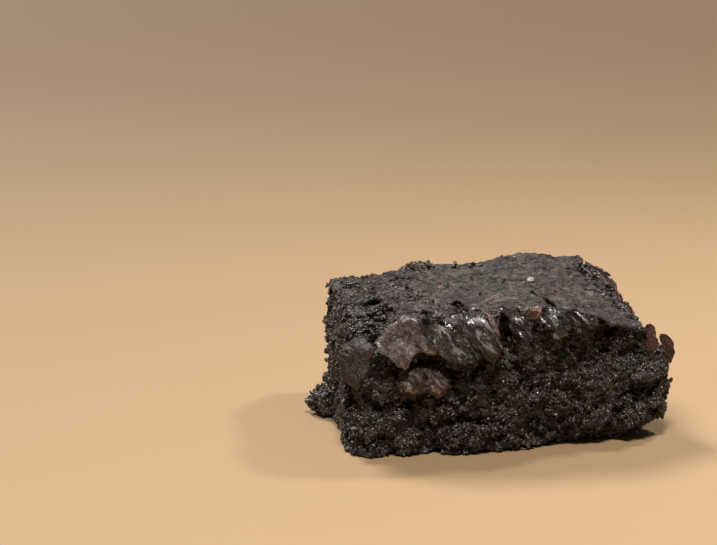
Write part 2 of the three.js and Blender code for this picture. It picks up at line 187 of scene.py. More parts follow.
def cast_map(first, second, ray, missing):
    """Casts a ray of (start, direction, axis) for each grid point and keeps where it lands."""
    rows = np.arange(first[0], first[1], MAP_STEP)
    columns = np.arange(second[0], second[1], MAP_STEP)
    found = np.full((len(rows), len(columns)), missing)
    for i, a in enumerate(rows):
        for j, b in enumerate(columns):
            start, direction, axis = ray(a, b)
            hit = tree.ray_cast(start, direction)[0]
            if hit is not None:
                found[i, j] = hit[axis]
    return found


front_hits = cast_map(
    FRONT_X, FRONT_Z, lambda x, z: (Vector((x, -FAR, z)), Vector((0, 1, 0)), 1), FAR
)
top_hits = cast_map(
    FRONT_X, TOP_Y, lambda x, y: (Vector((x, y, FAR)), Vector((0, 0, -1)), 2), -1.0
)


def filled(grid, known, rounds=16):
    """The grid with its unknown points taken from their known neighbours."""
    out = np.where(known, grid, 0.0)
    have = known.astype(float)
    for _ in range(rounds):
        total = blurred(out * have, 1.0)
        weight = blurred(have, 1.0)
        out = np.where(have > 0, out, total / np.maximum(weight, 1e-6))
        have = np.where(have > 0, have, (weight > 1e-3).astype(float))
    return out


# The front without its thin flakes' steps, and the top without its crumbs and cracks
front_known = front_hits < 0
front_map = filled(front_hits, front_known)
front_map = blurred(extreme(front_map, 1, np.minimum), 2.0)
front_y = Map(FRONT_X[0], FRONT_Z[0], front_map)

top_known = top_hits > LOWEST_TOP
as_hit = filled(top_hits, top_known)
top_map = extreme(extreme(as_hit, 3, np.maximum), 3, np.minimum)
top_map = extreme(extreme(top_map, 5, np.minimum), 5, np.maximum)
# The dropped right margin keeps its own height
grid_x = FRONT_X[0] + MAP_STEP * np.arange(len(as_hit))
on_margin = smooth(26.5, 29.5, grid_x)[:, None]
top_map = blurred(top_map, 1.6) * (1 - on_margin) + blurred(as_hit, 0.9) * on_margin
top_z = Map(FRONT_X[0], TOP_Y[0], top_map)
inside_top = Map(FRONT_X[0], TOP_Y[0], (blurred(top_known.astype(float), 2.0) - 0.5) * 5.0)


# Where the crust is broken away, with half widths, and how ragged the break is
CRUST_BREAKS = [
    (-32.0, -18.5, 6.5, 7.5),
    (-35.0, -3.0, 4.5, 10.0),
    (-27.0, -22.6, 4.6, 3.4),
    (-18.9, -12.2, 2.3, 1.5),
    (-24.0, -1.0, 1.7, 1.5),
    (-22.9, -16.6, 1.9, 1.3),
    (-10.6, -23.6, 2.2, 4.2),
    (-19.0, 25.5, 9.5, 8.5),
    (-9.6, 26.0, 6.4, 5.2),
    (2.8, 23.8, 2.4, 2.0),
    (9.5, 24.6, 3.6, 2.2),
    (30.3, 13.8, 2.8, 5.6),
    (31.0, -19.6, 4.2, 5.2),
    (33.8, -8.0, 2.8, 9.0),
    (12.7, -7.5, 0.9, 0.4),
    (5.8, -13.7, 0.6, 0.5),
]
# The open crack between the main plate and the right margin, and finer ones: path and half width
CRUST_CRACKS = [
    ([(30.6, 21.5), (28.2, 15.0), (26.3, 10.3), (29.2, 8.2), (30.9, 5.2), (31.3, 0.4),
      (29.7, -5.2), (31.0, -9.6), (31.0, -16.0)], 1.0),
    ([(-35, -7.5), (-27, -9.5), (-19.5, -11.5), (-14, -14.0)], 0.35),
    ([(4.6, -21.5), (6.6, -22.6), (8.6, -27.0)], 0.55),
]
RIM_CRACK = CRUST_CRACKS[0][0]


def near_path(points, path):
    """Distance of each point from a path of straight runs."""
    nearest = np.full(points.shape[:-1], FAR)
    for start, end in zip(np.array(path[:-1]), np.array(path[1:])):
        run = end - start
        t = np.clip((points - start) @ run / (run @ run), 0, 1)
        away = np.linalg.norm(points - start - t[..., None] * run, axis=-1)
        nearest = np.minimum(nearest, away)
    return nearest


def crust_cover(x, y):
    """Distance inside the crust's torn outline, in about millimetres: negative where it's gone."""
    p = flat_points(x, y)
    wavy_x = x + 1.0 * noise(p, 3.0, 201) + 0.4 * noise(p, 1.1, 202)
    wavy_y = y + 1.0 * noise(p, 3.0, 203) + 0.4 * noise(p, 1.1, 204)
    cover = inside_top(x, y) + 0.25 * noise(p, 2.2, 205) + 0.15 * noise(p, 0.9, 206)
    for cx, cy, half_x, half_y in CRUST_BREAKS:
        away = np.hypot((wavy_x - cx) / half_x, (wavy_y - cy) / half_y)
        cover = np.minimum(cover, (away - 1) * min(half_x, half_y))
    for path, half_width in CRUST_CRACKS:
        cover = np.minimum(cover, near_path(np.stack([wavy_x, wavy_y], -1), path) - half_width)
    crumbly = smooth(-9, -20, x) + smooth(24, 29, x) * smooth(-20, -10, y)
    cover = np.minimum(cover, 1.6 * (noise(p, 2.9, 207) + 0.98 - 0.58 * crumbly))
    cover = np.minimum(cover, 0.9 * (noise(p, 1.5, 208) + 0.98 - 0.30 * crumbly))
    return cover


# Flakes and curls of the crust

# Outlines in x and z on the front, and how each sheet lies on it: stand_top and stand_foot are how
# far its upper and lower edges stand out, crumple, pleat and fold (some have none) are the sizes of
# its creases from fine to broad, slant is their slope, and sink is how far its rim goes back in
FLAKES = {
    "mica": dict(
        outline=[(-28.3, 24.0), (-27.2, 26.0), (-25.4, 28.6), (-23.2, 29.8), (-20.6, 30.2),
                 (-18.8, 29.8), (-18.2, 27.4), (-17.6, 24.8), (-16.6, 22.6), (-17.4, 21.4),
                 (-19.0, 22.4), (-20.8, 21.5), (-22.6, 18.9), (-23.9, 19.4), (-25.6, 21.2),
                 (-27.3, 22.2)],
        stand_top=0.35, stand_foot=1.5, crumple=0.2, pleat=0.3, slant=0.75, sink=0.0, look="mica"),
    "side": dict(
        outline=[(-34.6, 21.9), (-32.6, 23.4), (-30.9, 25.2), (-29.0, 24.0), (-28.2, 21.6),
                 (-28.5, 18.4), (-29.6, 16.7), (-31.1, 15.1), (-33.0, 14.9), (-34.4, 16.4)],
        stand_top=0.4, stand_foot=0.8, crumple=0.16, pleat=0.0, slant=0, sink=0.7, look="brown"),
    "pleats": dict(
        outline=[(-20.6, 29.4), (-17.6, 30.3), (-14.2, 30.2), (-11.0, 30.5), (-7.9, 30.7),
                 (-5.9, 29.9), (-4.2, 27.6), (-3.6, 24.4), (-4.1, 21.2), (-5.6, 20.0),
                 (-7.6, 20.8), (-10.3, 20.4), (-12.7, 20.8), (-14.8, 21.2), (-16.9, 21.9),
                 (-19.0, 25.0)],
        stand_top=0.5, stand_foot=1.9, crumple=0.34, pleat=0.6, fold=0.9, slant=0.75, sink=0.2,
        look="glossy"),
    "pleat_end": dict(
        outline=[(-6.0, 30.6), (-4.5, 29.8), (-3.4, 27.0), (-3.0, 23.5), (-3.5, 20.6),
                 (-4.5, 19.6), (-5.0, 22.6), (-5.3, 26.6)],
        stand_top=0.9, stand_foot=1.4, crumple=0.3, pleat=0.4, slant=0.5, sink=0.3, look="red"),
    "low_left": dict(
        outline=[(-23.9, 15.4), (-22.6, 18.4), (-21.1, 19.2), (-19.2, 18.9), (-18.1, 16.4),
                 (-17.6, 14.0), (-19.4, 12.8), (-21.8, 13.2)],
        stand_top=0.6, stand_foot=0.9, crumple=0.35, pleat=0.5, fold=0.5, slant=0.9, sink=1.5,
        look="tan"),
    "low_right": dict(
        outline=[(-19.0, 18.6), (-16.8, 18.6), (-14.2, 18.0), (-12.6, 15.2), (-14.6, 12.7),
                 (-17.5, 13.6)],
        stand_top=0.6, stand_foot=0.9, crumple=0.35, pleat=0.5, fold=0.5, slant=0.9, sink=1.5,
        look="tan"),
    "knuckle": dict(
        outline=[(-14.4, 22.8), (-11.3, 22.8), (-9.0, 21.6), (-7.8, 20.0), (-9.2, 18.8),
                 (-11.6, 19.0), (-13.4, 19.6), (-14.6, 20.8)],
        stand_top=0.7, stand_foot=1.3, crumple=0.45, pleat=0.7, slant=0.75, sink=1.0,
        look="glossy"),
    "lip_red": dict(
        outline=[(1.0, 31.5), (2.8, 32.0), (4.9, 31.6), (5.2, 29.8), (4.5, 28.0), (2.9, 27.9),
                 (1.5, 28.5)],
        stand_top=0.5, stand_foot=1.1, crumple=0.3, pleat=0.2, slant=0, sink=0.2, look="red"),
    "lip_folds": dict(
        outline=[(4.4, 30.6), (7.0, 31.2), (10.0, 30.6), (13.0, 29.4), (16.6, 27.8), (17.2, 25.6),
                 (15.8, 23.6), (14.4, 25.0), (13.2, 24.4), (11.6, 25.6), (10.2, 24.6), (8.4, 23.8),
                 (6.8, 25.8), (5.2, 27.4)],
        stand_top=0.3, stand_foot=1.8, crumple=0.45, pleat=0.9, fold=0.4, slant=0.8, sink=0.3,
        look="glossy"),
    "chunk": dict(
        outline=[(-0.6, 28.6), (1.8, 29.0), (3.4, 27.0), (4.2, 24.0), (3.4, 20.6), (1.2, 19.8),
                 (0.1, 23.2), (-0.8, 26.6)],
        stand_top=0.4, stand_foot=0.9, crumple=0.5, pleat=0.6, slant=2.4, sink=1.0, look="glossy"),
    "under_end": dict(
        outline=[(25.8, 13.8), (27.6, 15.0), (29.8, 15.4), (31.4, 14.6), (31.6, 13.6),
                 (29.6, 12.5), (27.4, 12.7)],
        stand_top=0.3, stand_foot=0.8, crumple=0.35, pleat=0.2, slant=0.3, sink=1.3, look="brown"),
}
FLAKE_STEP = 0.26
FLAKE_THICKNESS = 0.26
FLAKE_RIM_POINTS = 160
COVER_RIM_POINTS = 72
MOST_STAND = 2.6
PLEAT_PERIOD = 2.4
FOLD_PERIOD = 6.4
FOLD_CREST = 3.4
# Sizes of the fine creases, and their shares of the flake's crumple
CREASES = [(2.2, 0.9), (1.1, 0.6), (0.6, 0.35)]

# Points of a curl between two given ones and across it, and the part of a run that its tip takes
CURL_ROWS = 9
CURL_COLUMNS = 9
CURL_THICKNESS = 0.45
TIP_ROUNDING = 0.55


# Thin curled strips: points of the middle line, half widths, the direction across, and the cupping.
# Those of the rim and the lip are given by how far they stand above the top.
RIM_CURLS = [
    ([(30.8, 21.5, 0.0), (32.2, 17.8, 0.3), (32.8, 11.2, 0.4), (33.0, 6.1, 0.3), (31.9, -0.5, 0.3),
      (31.9, -6.3, 0.4), (31.2, -11.5, 0.2), (30.2, -15.0, -0.3)],
     [0.2, 0.5, 0.6, 0.4, 0.5, 0.6, 0.5, 0.2], (0.45, 0.0, 0.88), 0.2),
    ([(5.2, -22.6, 0.3), (6.2, -25.0, 0.8), (7.4, -27.6, 0.8), (8.2, -29.4, 0.0)],
     [0.15, 0.45, 0.5, 0.2], (0.7, 0.2, 0.7), 0.15),
    ([(-9.2, -24.4, 0.0), (-7.8, -25.4, 0.3), (-6.2, -25.8, 0.3), (-5.0, -25.4, 0.0)],
     [0.15, 0.35, 0.35, 0.15], (0.2, -0.6, 0.75), 0.1),
    ([(-7.0, -27.2, 0.0), (-5.2, -27.6, 0.6), (-3.4, -27.2, 0.6), (-2.0, -26.0, 0.2)],
     [0.2, 0.7, 0.8, 0.3], (0.2, -0.6, 0.75), 0.2),
]
END_CURLS = [
    ([(30.7, -21.9, 18.9), (30.5, -22.3, 20.5), (30.2, -22.2, 22.3), (29.9, -21.6, 24.1)],
     [1.3, 1.3, 1.25, 1.1], (0.95, 0.3, -0.1), -0.5),
    ([(34.4, -20.6, 16.0), (34.9, -21.2, 17.7), (34.4, -21.6, 19.8), (32.9, -21.6, 21.9)],
     [1.3, 1.2, 1.15, 1.0], (0.95, 0.15, 0.2), -0.5),
    ([(32.6, -20.4, 13.4), (34.2, -21.0, 12.2), (35.6, -21.0, 11.6), (36.2, -21.0, 12.4)],
     [0.6, 0.5, 0.4, 0.2], (0.1, 0.5, 0.85), 0.1),
]


def spline(a, b, c, d, t):
    """The smooth curve between b and c, with a before them and d after."""
    t = t[:, None]
    square = (2 * a - 5 * b + 4 * c - d) * t**2
    cube = (3 * b - a - 3 * c + d) * t**3
    return 0.5 * (2 * b + (c - a) * t + square + cube)


def rounded_outline(outline, count):
    """A closed smooth curve of count points through the outline."""
    given = np.array(outline, float)
    n = len(given)
    at = np.arange(count) * n / count
    i = at.astype(int)
    return spline(*(given[(i + k) % n] for k in (-1, 0, 1, 2)), at - i)


def curl(path, half_widths, across, cupping, seed):
    """A thin closed strip along a smooth curve, cupped across, with uneven edges."""
    given = np.array(path, float)
    at = np.linspace(0, len(given) - 1.001, CURL_ROWS * (len(given) - 1))
    i = at.astype(int)
    padded = np.vstack([2 * given[0] - given[1], given, 2 * given[-1] - given[-2]])
    line = spline(*(padded[i + k] for k in range(4)), at - i)
    half = np.interp(at, np.arange(len(given)), half_widths)
    half = half * (1 + 0.25 * noise(line.astype(np.float32), 0.9, seed))
    to_tip = np.clip((at[-1] - at) / TIP_ROUNDING, 0.05, 1)
    half = half * np.sqrt(1 - (1 - to_tip) ** 2)
    along = np.gradient(line, axis=0)
    along /= np.linalg.norm(along, axis=1, keepdims=True)
    across = np.array(across) - along * (along @ np.array(across))[:, None]
    across /= np.linalg.norm(across, axis=1, keepdims=True)
    up = np.cross(along, across)
    s = np.linspace(-1, 1, CURL_COLUMNS)
    upper = line[:, None] + across[:, None] * (half[:, None] * s)[..., None]
    dent = cupping * s**2 + 0.12 * noise(upper.astype(np.float32), 0.8, seed + 1)
    upper = upper + up[:, None] * dent[..., None]
    return grid_shell(upper, upper - up[:, None] * CURL_THICKNESS)


def polar_rim(outline, count):
    """Of an outline's smooth curve: its points, their middle, and angles with the reach at each."""
    rim = rounded_outline(outline, count)
    middle = rim.mean(0)
    spokes = rim - middle
    angles = np.arctan2(spokes[:, 1], spokes[:, 0])
    order = np.argsort(angles)
    return rim, middle, angles[order], np.hypot(spokes[:, 0], spokes[:, 1])[order]


def disc_grid(rings):
    """A square grid of points pulled onto a disc: radius from 0 to 1, and angle, of each point."""
    s = np.linspace(-1, 1, 2 * rings + 1)
    u, v = np.meshgrid(s, s, indexing="ij")
    radius = np.maximum(abs(u), abs(v))
    safe = np.where(radius > 0, radius, 1)
    wide = abs(u) >= abs(v)
    part = np.where(wide, v / safe, u / safe) * math.pi / 4
    angle = np.where(wide, part, math.pi / 2 - part)
    angle = np.where(wide & (u < 0), math.pi - part, angle)
    angle = np.where(~wide & (v < 0), -math.pi / 2 + part, angle)
    return radius, angle


def outward(points, faces):
    """The closed surface with its faces turned to look out."""
    a, b, c = (points[faces[:, n]] for n in (0, 1, 2))
    if np.einsum("ij,ij->i", a - points[0], np.cross(b - points[0], c - points[0])).sum() < 0:
        faces = faces[:, ::-1]
    return points, faces


def wall_faces(ring, after, count):
    """Faces from each edge of an upper sheet, ring to after, down to the lower sheet's edge."""
    halves = [(after, ring, ring + count), (after, ring + count, after + count)]
    return np.concatenate([np.stack(corners, 1) for corners in halves])


def grid_shell(upper, lower):
    """A closed shell between two grids of points of the same shape."""
    rows, columns = upper.shape[:2]
    number = np.arange(rows * columns).reshape(rows, columns)
    a, b = number[:-1, :-1].ravel(), number[1:, :-1].ravel()
    c, d = number[1:, 1:].ravel(), number[:-1, 1:].ravel()
    top = np.concatenate([np.stack([a, b, c], 1), np.stack([a, c, d], 1)])
    ring = np.concatenate(
        [number[:, 0], number[-1, 1:], number[-2::-1, -1], number[0, -2:0:-1]]
    )
    count = rows * columns
    wall = wall_faces(ring, np.roll(ring, -1), count)
    faces = np.concatenate([top, top[:, ::-1] + count, wall])
    return outward(np.concatenate([upper.reshape(-1, 3), lower.reshape(-1, 3)]), faces)


def flake_cover(x, z):
    """Distance inside the nearest flake, roughly, taking each as a polygon about its middle."""
    best = np.full(np.shape(x), -FAR)
    for flake in FLAKES.values():
        _, middle, angles, reach = polar_rim(flake["outline"], COVER_RIM_POINTS)
        dx, dz = x - middle[0], z - middle[1]
        limit = np.interp(np.arctan2(dz, dx), angles, reach, period=2 * math.pi)
        best = np.maximum(best, limit - np.hypot(dx, dz))
    return best


def near_front(x, y, z):
    """1 close to the front's surface and 0 away from it."""
    return smooth(2.4, 1.2, abs(y - front_y(x, z)))


# Materials

def set_inputs(tree_, node, **values):
    """Links or sets a node's inputs, named with _ for a space."""
    for name, value in values.items():
        set_input(tree_, node.inputs[name.replace("_", " ")], value)


def set_input(tree_, socket, value):
    """Links the socket to another one, or gives it a fixed value."""
    if hasattr(value, "is_output"):
        tree_.links.new(value, socket)
    else:
        socket.default_value = value


# Sockets of a mix node that hold its two colours, and the mixed colour
MIX_COLOURS = (6, 7)
MIX_OUTPUT = 2


class Look:
    """A material of one shader, with the nodes that its values come from."""

    def __init__(self, name):
        self.material = bpy.data.materials.new(name)
        self.material.use_nodes = True
        self.tree = self.material.node_tree
        self.tree.nodes.clear()
        self.shader = self.node("BsdfPrincipled")
        self.node("OutputMaterial", Surface=self.shader.outputs[0])
        self.where = self.node("TexCoord").outputs["Object"]

    def node(self, kind, **values):
        """A new node, with its inputs linked or set."""
        made = self.tree.nodes.new("ShaderNode" + kind)
        set_inputs(self.tree, made, **values)
        return made

    def shade(self, **values):
        """Links or sets the shader's inputs."""
        set_inputs(self.tree, self.shader, **values)

    def noise(self, size_mm, detail=4.0, rough=0.6, distort=0.0, stretch=(1, 1, 1), kind="FBM"):
        """A noise of this size: a stretch under 1 draws it out along that axis."""
        scale = [s / (size_mm * MM) for s in stretch]
        place = self.node("Mapping", Scale=scale, Vector=self.where).outputs[0]
        texture = self.node("TexNoise", Vector=place, Scale=1.0, Detail=detail)
        texture.noise_type = kind
        set_inputs(self.tree, texture, Roughness=rough, Distortion=distort)
        return texture.outputs["Fac"]

    def turn(self, degrees):
        """Turns the coordinates about the Y axis, so that creases can run aslant."""
        turned = self.node("Mapping", Rotation=(0, math.radians(degrees), 0), Vector=self.where)
        self.where = turned.outputs[0]

    def cells(self, size_mm):
        """Distance from the nearest of many scattered points, in sizes."""
        texture = self.node("TexVoronoi", Scale=1.0 / (size_mm * MM), Vector=self.where)
        return texture.outputs["Distance"]

    def ramp(self, value, stops):
        """A colour for each value, from stops of (value, colour)."""
        ramp = self.node("ValToRGB", Fac=value)
        elements = ramp.color_ramp.elements
        while len(elements) < len(stops):
            elements.new(0.5)
        for element, (place, colour) in zip(elements, stops):
            element.position = place
            element.color = (*colour, 1)
        return ramp.outputs[0]

    def range(self, value, low, high, to_low, to_high):
        """The value with low and high taken to new numbers, and held between them."""
        ends = dict(From_Min=low, From_Max=high, To_Min=to_low, To_Max=to_high)
        return self.node("MapRange", Value=value, **ends).outputs[0]

    def mix(self, amount, first, second, kind="MIX"):
        """Two colours mixed by an amount, each a socket or a fixed value."""
        node = self.node("Mix")
        node.data_type = "RGBA"
        node.blend_type = kind
        set_input(self.tree, node.inputs[0], amount)
        for place, colour in zip(MIX_COLOURS, (first, second)):
            colour = colour if hasattr(colour, "is_output") else (*colour, 1)
            set_input(self.tree, node.inputs[place], colour)
        return node.outputs[MIX_OUTPUT]

    def bumps(self, layers):
        """Stacks bump layers of (height, depth in mm, strength)."""
        below = {}
        for height, depth_mm, strength in layers:
            sizes = dict(Distance=depth_mm * MM, Strength=strength)
            below = {"Normal": self.node("Bump", Height=height, **sizes, **below).outputs[0]}
        self.shade(**below)


# How light one grain is beside another
GRAIN_TONES = [(0.0, (0.15,) * 3), (0.5, (0.5,) * 3), (0.8, (1.7,) * 3), (1.0, (4.0, 3.9, 3.8))]


def crumb_material(name, dark, mid, light, seed):
    """Moist dark crumb: patchy brown, with a gloss that comes and goes from grain to grain. The
    grains have a seed, and each of their islands then has a tone of its own."""
    look = Look(name)
    patches = look.noise(2.6, 5, 0.65)
    specks = look.noise(0.62 + 0.01 * seed, 2, 0.7)
    colour = look.ramp(patches, [(0.30, dark), (0.50, mid), (0.72, light)])
    speckle = look.ramp(specks, [(0.40, (0.12,) * 3), (0.62, (2.2, 2.1, 2.0))])
    colour = look.mix(1.0, colour, speckle, "MULTIPLY")
    if seed:
        each = look.node("NewGeometry").outputs["Random Per Island"]
        colour = look.mix(1.0, colour, look.ramp(each, GRAIN_TONES), "MULTIPLY")
    gloss = look.noise(0.6, 3, 0.7)
    roughness = look.range(gloss, 0.44, 0.60, 0.66, 0.10)
    look.shade(Base_Color=colour, Roughness=roughness, Specular_IOR_Level=0.6, IOR=1.46)
    grain = look.range(look.cells(0.65), 0.0, 0.8, 1.0, 0.0)
    fine = look.noise(0.4, 2, 0.6)
    look.bumps([(grain, 0.35, 0.9), (fine, 0.2, 0.7)])
    return look.material


def crust_material():
    """Papery grey-brown crust, with redder patches and fine wrinkles."""
    look = Look("crust")
    patches = look.noise(5.0, 5, 0.62, 0.4, (1, 1.4, 1))
    browns = [(0.36, (0.012, 0.008, 0.0065)), (0.49, (0.034, 0.024, 0.0185))]
    colour = look.ramp(patches, browns + [(0.62, (0.090, 0.066, 0.053))])
    reds = look.noise(3.2, 4, 0.6, 0.2)
    red_amount = look.range(reds, 0.51, 0.66, 0.0, 0.5)
    colour = look.mix(red_amount, colour, (0.075, 0.026, 0.020))
    fine = look.noise(1.0, 4, 0.7, 0.3, (0.7, 1.3, 1))
    mottle = look.ramp(fine, [(0.38, (0.22,) * 3), (0.64, (1.95, 1.9, 1.85))])
    colour = look.mix(1.0, colour, mottle, "MULTIPLY")
    roughness = look.range(fine, 0.38, 0.62, 0.75, 0.4)
    look.shade(Base_Color=colour, Roughness=roughness, Specular_IOR_Level=0.5, IOR=1.45)
    wrinkle = look.noise(1.7, 4, 0.62, 1.4, (0.5, 1.6, 1))
    pimple = look.range(look.cells(0.9), 0.0, 0.8, 1.0, 0.0)
    ridge = look.noise(2.4, 3, 0.5, 0.9, (0.6, 1.4, 1), "RIDGED_MULTIFRACTAL")
    layers = [(ridge, 0.5, 1.0), (wrinkle, 1.9, 1.0), (pimple, 0.3, 0.7), (fine, 0.5, 1.0)]
    look.bumps(layers)
    return look.material


STREAK_DEGREES = 37.0
# Painted highlight: the pale colour of the streaks laid aslant on the flakes' folds, where glints
# would be
PAINTED_HIGHLIGHT_COLOUR = (0.36, 0.32, 0.30)


def flake_material(name, colours, rough, coat, pucker_mm, streak=1.0, painted_highlight=0.0):
    """A thin sheet of crust in three colours from dark to light, with fine puckers that sparkle.
    A streak under 1 draws them out aslant, and the last value paints pale streaks of highlight
    aslant on the folds, standing in for their glints."""
    look = Look(name)
    look.turn(STREAK_DEGREES)
    drawn_out = (1, 1, streak)
    patches = look.noise(2.6, 4, 0.65, 0.4, drawn_out)
    colour = look.ramp(patches, list(zip((0.38, 0.5, 0.66), colours)))
    fine = look.noise(0.6, 3, 0.7, 0.2, drawn_out)
    mottle = look.ramp(fine, [(0.36, (0.3,) * 3), (0.64, (1.7, 1.66, 1.62))])
    colour = look.mix(1.0, colour, mottle, "MULTIPLY")
    # Painted highlight: pale streaks drawn out aslant, standing in for glints on the folds
    highlight_streaks = look.noise(1.5, 3, 0.6, 0.6, (1, 1, 0.3))
    colour = look.mix(look.range(highlight_streaks, 0.55, 0.63, 0.0, painted_highlight), colour, PAINTED_HIGHLIGHT_COLOUR)
    gloss = look.noise(0.8, 3, 0.65)
    roughness = look.range(gloss, 0.38, 0.62, max(rough), min(rough))
    look.shade(Base_Color=colour, Roughness=roughness, Coat_Weight=coat)
    look.shade(Specular_IOR_Level=0.5, IOR=1.48, Coat_Roughness=0.16)
    pucker = look.noise(1.2, 4, 0.62, 0.8, drawn_out)
    look.bumps([(pucker, pucker_mm, 0.9), (fine, 0.45, 1.0)])
    return look.material


def salt_material():
    """Dull off-white salt that lets a little light in."""
    look = Look("salt")
    fine = look.noise(0.4, 4, 0.6)
    colour = look.ramp(fine, [(0.35, (0.24, 0.19, 0.17)), (0.62, (0.42, 0.37, 0.34))])
    roughness = look.range(fine, 0.3, 0.7, 0.6, 0.3)
    look.shade(Base_Color=colour, Roughness=roughness)
    look.shade(Subsurface_Weight=0.25, Subsurface_Scale=0.001)
    look.bumps([(fine, 0.15, 0.6)])
    return look.material


# Names, colours from dark to light and seeds of the crumb and of three kinds of grains
crumb_look, *grain_looks = (
    crumb_material(*values)
    for values in [
        ("crumb", (0.006, 0.0042, 0.0033), (0.019, 0.0138, 0.0105), (0.050, 0.037, 0.029), 0),
        ("grain_light", (0.020, 0.015, 0.0125), (0.052, 0.042, 0.036), (0.115, 0.095, 0.083), 4),
        ("grain_mid", (0.010, 0.007, 0.0055), (0.032, 0.023, 0.018), (0.080, 0.060, 0.048), 7),
        ("grain_red", (0.012, 0.0078, 0.006), (0.029, 0.0200, 0.0155), (0.060, 0.044, 0.036), 9),
    ]
)
crust_look = crust_material()
salt_look = salt_material()

# Colours of the flakes, from dark to light
MICA = ((0.036, 0.011, 0.009), (0.078, 0.055, 0.047), (0.160, 0.132, 0.120))
TAN = ((0.018, 0.008, 0.0055), (0.050, 0.027, 0.018), (0.105, 0.066, 0.048))
BROWN = ((0.026, 0.008, 0.006), (0.019, 0.012, 0.009), (0.032, 0.022, 0.016))
GLOSSY = ((0.004, 0.0020, 0.0015), (0.011, 0.0052, 0.0038), (0.034, 0.020, 0.016))
RED = ((0.016, 0.005, 0.0035), (0.055, 0.017, 0.011), (0.120, 0.048, 0.032))
CURL = ((0.014, 0.004, 0.003), (0.044, 0.012, 0.008), (0.105, 0.036, 0.022))
# Colours, roughness, coat, depth of the puckers in mm, streak and painted highlight of each look
LOOKS = {
    look: flake_material("flake_" + look, *values)
    for look, values in {
        "curl": (CURL, (0.22, 0.5), 0.3, 0.5),
        "mica": (MICA, (0.16, 0.45), 0.3, 0.7, 0.7, 0.15),
        "brown": (BROWN, (0.26, 0.5), 0.0, 0.3),
        "tan": (TAN, (0.18, 0.45), 0.2, 0.8, 0.45, 0.25),
        "glossy": (GLOSSY, (0.12, 0.34), 0.6, 1.4, 0.4, 0.5),
        "red": (RED, (0.16, 0.4), 0.4, 0.7, 0.5, 0.2),
    }.items()
}


# Meshes

def piece(name, points, faces, look, slot, sharp_degrees=40.0):
    """A piece of the brownie, from points in millimetres, with its sharper edges shaded as such."""
    mesh = bpy.data.meshes.new(name)
    mesh.from_pydata((points.astype(float) * MM).tolist(), [], faces.tolist())
    mesh.update()
    mesh.polygons.foreach_set("use_smooth", np.full(len(mesh.polygons), True))
    mesh.set_sharp_from_angle(angle=math.radians(sharp_degrees))
    mesh.materials.append(look)
    made = bpy.data.objects.new(name, mesh)
    bpy.context.scene.collection.objects.link(made)
    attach(made, "root")
    return made


def joined(parts):
    """One list of points and faces from several."""
    points, faces, count = [], [], 0
    for part_points, part_faces in parts:
        points.append(part_points)
        faces.append(part_faces + count)
        count += len(part_points)
    return np.concatenate(points), np.concatenate(faces)


def largest_body(points, faces):
    """The connected body with the most points: scraps and sealed bubbles are dropped."""
    ends = np.concatenate([faces[:, [0, 1]], faces[:, [1, 2]]])
    label = np.arange(len(points))
    while True:
        low = np.minimum(label[ends[:, 0]], label[ends[:, 1]])
        after = label.copy()
        np.minimum.at(after, ends[:, 0], low)
        np.minimum.at(after, ends[:, 1], low)
        after = after[after]
        if (after == label).all():
            break
        label = after
    names, counts = np.unique(label, return_counts=True)
    keep = label == names[counts.argmax()]
    renumber = np.cumsum(keep) - 1
    return points[keep], renumber[faces[keep[faces[:, 0]]]]


def decimated(made, face_count):
    """Gives the piece a mesh of fewer faces, where it has more than this many."""
    have = len(made.data.polygons)
    if have <= face_count:
        return
    modifier = made.modifiers.new("fewer", "DECIMATE")
    modifier.ratio = face_count / have
    graph = bpy.context.evaluated_depsgraph_get()
    slim = bpy.data.meshes.new_from_object(made.evaluated_get(graph), depsgraph=graph)
    old = made.data
    made.modifiers.clear()
    made.data = slim
    bpy.data.meshes.remove(old)
    slim.name = made.name


# The crumb

def crumb_lumps(points):
    """Clumps with creases between them, small lumps, grains, pores and level seams, as depths."""
    warp = np.stack([noise(points, 1.7, s) for s in (1, 2, 3)], -1) * np.float32(0.45)
    bent = points + warp
    clump, clump_next = lumps(bent, CLUMP_SIZE, 10)
    small, _ = lumps(bent, LUMP_SIZE, 20)
    grain, _ = lumps(points, GRAIN_SIZE, 30)
    crease = smooth(0.34, 0.0, clump_next - clump)
    relief = CLUMP_DEPTH * crease * smooth(-0.6, 0.3, noise(points, 4.5, 40))
    relief = relief + LUMP_DEPTH * (small**2) - RELIEF_MIDDLE + GRAIN_DEPTH * (grain**2)
    pores = smooth(0.26, 0.55, noise(bent, PORE_SIZE, 50)) * PORE_DEPTH
    flattened = points * np.float32([0.28, 0.28, 1.0])
    seams = smooth(0.45, 0.75, noise(flattened, SEAM_SIZE, 60)) * SEAM_DEPTH
    return relief + pores + seams


def crumb_relief(points):
    """How far the surface is moved in, in millimetres, at each point of the band."""
    x, y, z = points[:, 0], points[:, 1], points[:, 2]
    below_top = top_z(x, y) - z
    cover = crust_cover(x, y)
    near_top = smooth(1.5, 0.2, below_top)
    bare = 1 - near_top * smooth(-0.2, 0.5, cover)
    flaked = smooth(-0.4, 0.5, flake_cover(x, z)) * near_front(x, y, z)
    rough = bare * (1 - 0.85 * flaked) * smooth(-0.1, 0.6, z)
    for path, *_ in END_CURLS:
        rough = rough * smooth(1.2, 2.6, near_path(points, path))

    gone = smooth(0.3, -0.5, cover) * near_top * 0.7
    from_crack = near_path(points[:, :2], RIM_CRACK)
    gone = gone + 0.5 * smooth(1.2, 0.3, from_crack) * smooth(3.0, 1.5, below_top)
    pressed = 0.12 * (1 - rough) + 0.9 * near_top * smooth(0.0, 1.5, cover)
    right_end = smooth(30.5, 33.0, x) * smooth(-13, -18, y)
    swell = right_end * smooth(11.5, 13.5, z) * smooth(21.0, 17.5, z)
    return crumb_lumps(points) * rough + gone + (pressed - swell)


